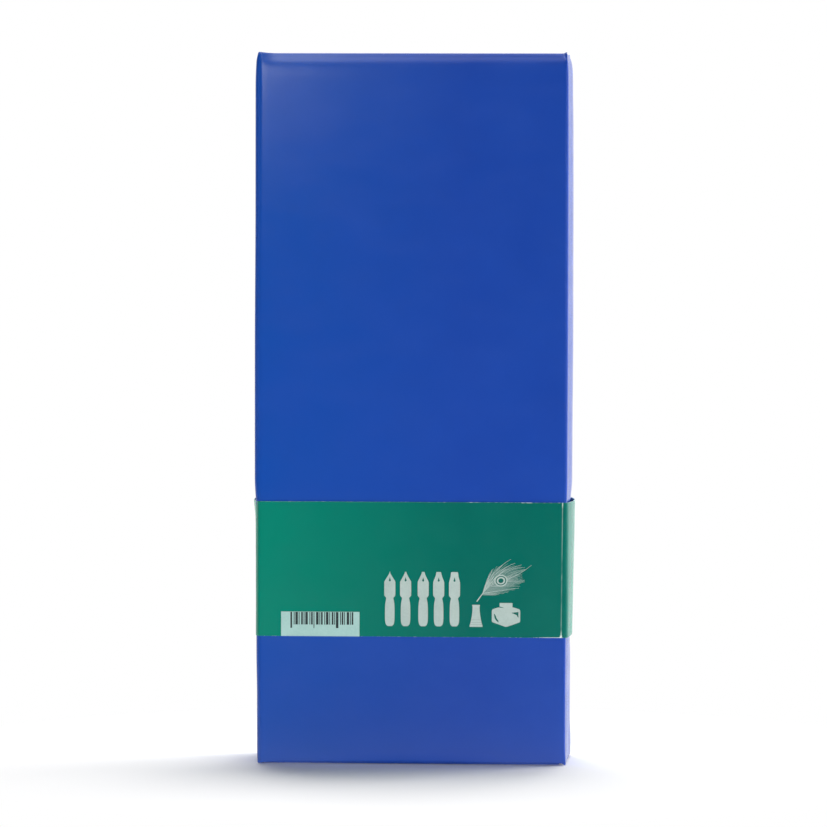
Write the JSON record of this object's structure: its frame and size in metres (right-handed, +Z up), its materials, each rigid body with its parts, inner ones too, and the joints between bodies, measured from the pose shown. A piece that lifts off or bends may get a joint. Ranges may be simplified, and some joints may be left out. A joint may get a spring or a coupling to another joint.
{
  "type": "calligraphy set box",
  "caption": "Tall paper-wrapped sleeve box with a card belly band and a push-through tray that holds a feather pen, spare nibs, a pen stand and an ink pot.",
  "frame": {"origin": "middle of the face that the box stands on", "axes": "+Z up along the box's length, X across its width, the plain back at -Y and the tray's open front at +Y"},
  "size_m": [0.1292, 0.0434, 0.284],
  "materials": {
    "blue_paper": "satin",
    "greyboard": "matte",
    "lining_paper": "matte",
    "band_card": "satin",
    "foam": "matte",
    "flock": "matte",
    "pewter": "satin",
    "ferrule_brass": "satin",
    "nib_steel": "polished",
    "quill": "satin",
    "feather": "satin",
    "pot_glass": "gloss",
    "black_ink": "gloss",
    "cap_plastic": "gloss",
    "liner_foam": "matte"
  },
  "bodies": {
    "sleeve": {"sleeve_board": "greyboard", "sleeve_wrap": "blue_paper", "sleeve_lining": "lining_paper"},
    "band": {"belly_band": "band_card"},
    "tray": {"tray_board": "greyboard", "tray_wrap": "blue_paper", "foam_insert": "foam", "insert_cover": "flock", "quill_shaft": "quill", "feather_vane": "feather", "pen_grip": "pewter", "nib_ferrule": "ferrule_brass", "nib_clip": "nib_steel", "pen_stand": "pewter", "ink_bottle": "pot_glass", "ink": "black_ink", "spare_nib_1": "nib_steel", "spare_nib_2": "nib_steel", "spare_nib_3": "nib_steel", "spare_nib_4": "nib_steel", "spare_nib_5": "nib_steel"},
    "loose_nib": {"fitted_nib": "nib_steel"},
    "cap_seal": {"cap_liner": "liner_foam"},
    "cap": {"ink_cap": "cap_plastic"}
  },
  "joints": [
    {"name": "tray_slide", "type": "slide", "parent": "sleeve", "child": "tray", "axis": [0, 0, 1], "range_m": [0, 0.29]},
    {"name": "band_slide", "type": "slide", "parent": "sleeve", "child": "band", "axis": [0, 0, 1], "range_m": [-0.0511, 0.24]},
    {"name": "nib_pull", "type": "slide", "parent": "tray", "child": "loose_nib", "axis": [0, 0, -1], "range_m": [0, 0.014]},
    {"name": "cap_rise", "type": "slide", "parent": "tray", "child": "cap_seal", "axis": [0, 0, 1], "range_m": [0, 0.0046]},
    {"name": "cap_turn", "type": "hinge", "parent": "cap_seal", "child": "cap", "pos_m": [0.024, 0.0004, 0.0598], "axis": [0, 0, 1], "range_deg": [0, 540]}
  ],
  "couplings": [
    {"joint": "cap_rise", "follows": "cap_turn", "m_per_rad": 0.00047746}
  ]
}
